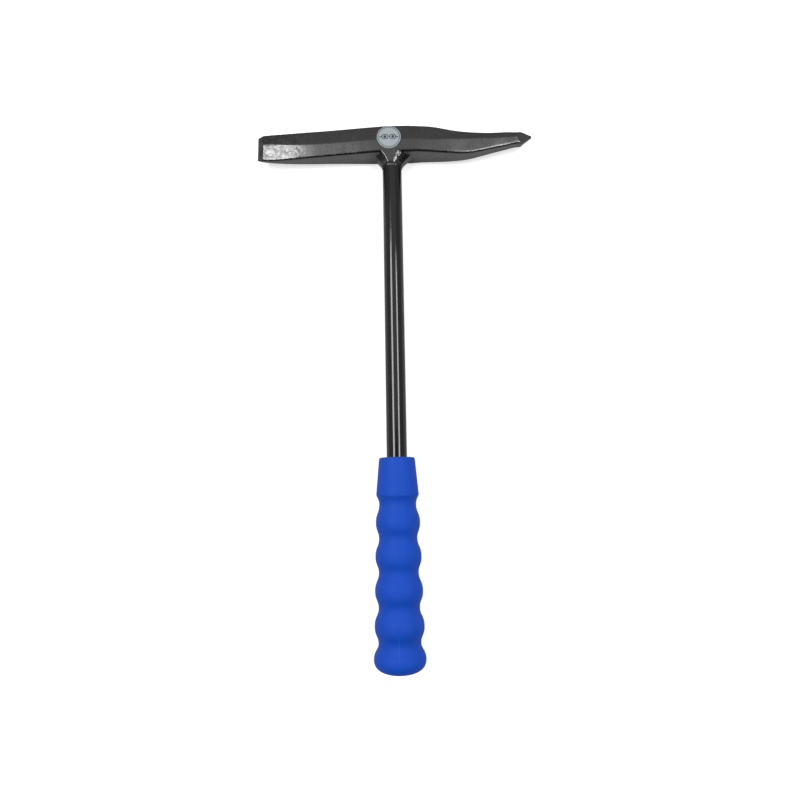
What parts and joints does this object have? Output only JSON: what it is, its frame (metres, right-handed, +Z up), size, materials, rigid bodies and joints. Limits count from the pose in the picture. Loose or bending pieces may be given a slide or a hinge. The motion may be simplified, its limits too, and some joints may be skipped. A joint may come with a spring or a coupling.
{
  "type": "chipping hammer",
  "caption": "Two-ended forged hammer head with a cross chisel and an upswept pick, welded to a straight steel tube handle with a ribbed blue grip.",
  "frame": {"origin": "middle of the bounding box in X and Y, on the level of the lowest point, which is the widest bulge of the grip with the hammer lying flat", "axes": "+X from the chisel edge to the pick point, +Y along the handle from the butt of the grip to the top of the head, +Z up through the thickness, out of the face that carries the round label"},
  "size_m": [0.175, 0.3272, 0.0295],
  "materials": {
    "head_lacquer": "black lacquer over a rough forged skin, glossy on the edges",
    "tube_lacquer": "smooth gloss black lacquer",
    "weld_lacquer": "black lacquer over weld ripples",
    "grip_vinyl": "satin blue moulded vinyl with a faint mould seam",
    "label_film": "pale grey-blue printed film, satin"
  },
  "bodies": {
    "root": {"hammer_head": "head_lacquer", "handle_tube": "tube_lacquer", "weld_bead": "weld_lacquer", "grip": "grip_vinyl", "label_disc": "label_film"}
  },
  "joints": []
}
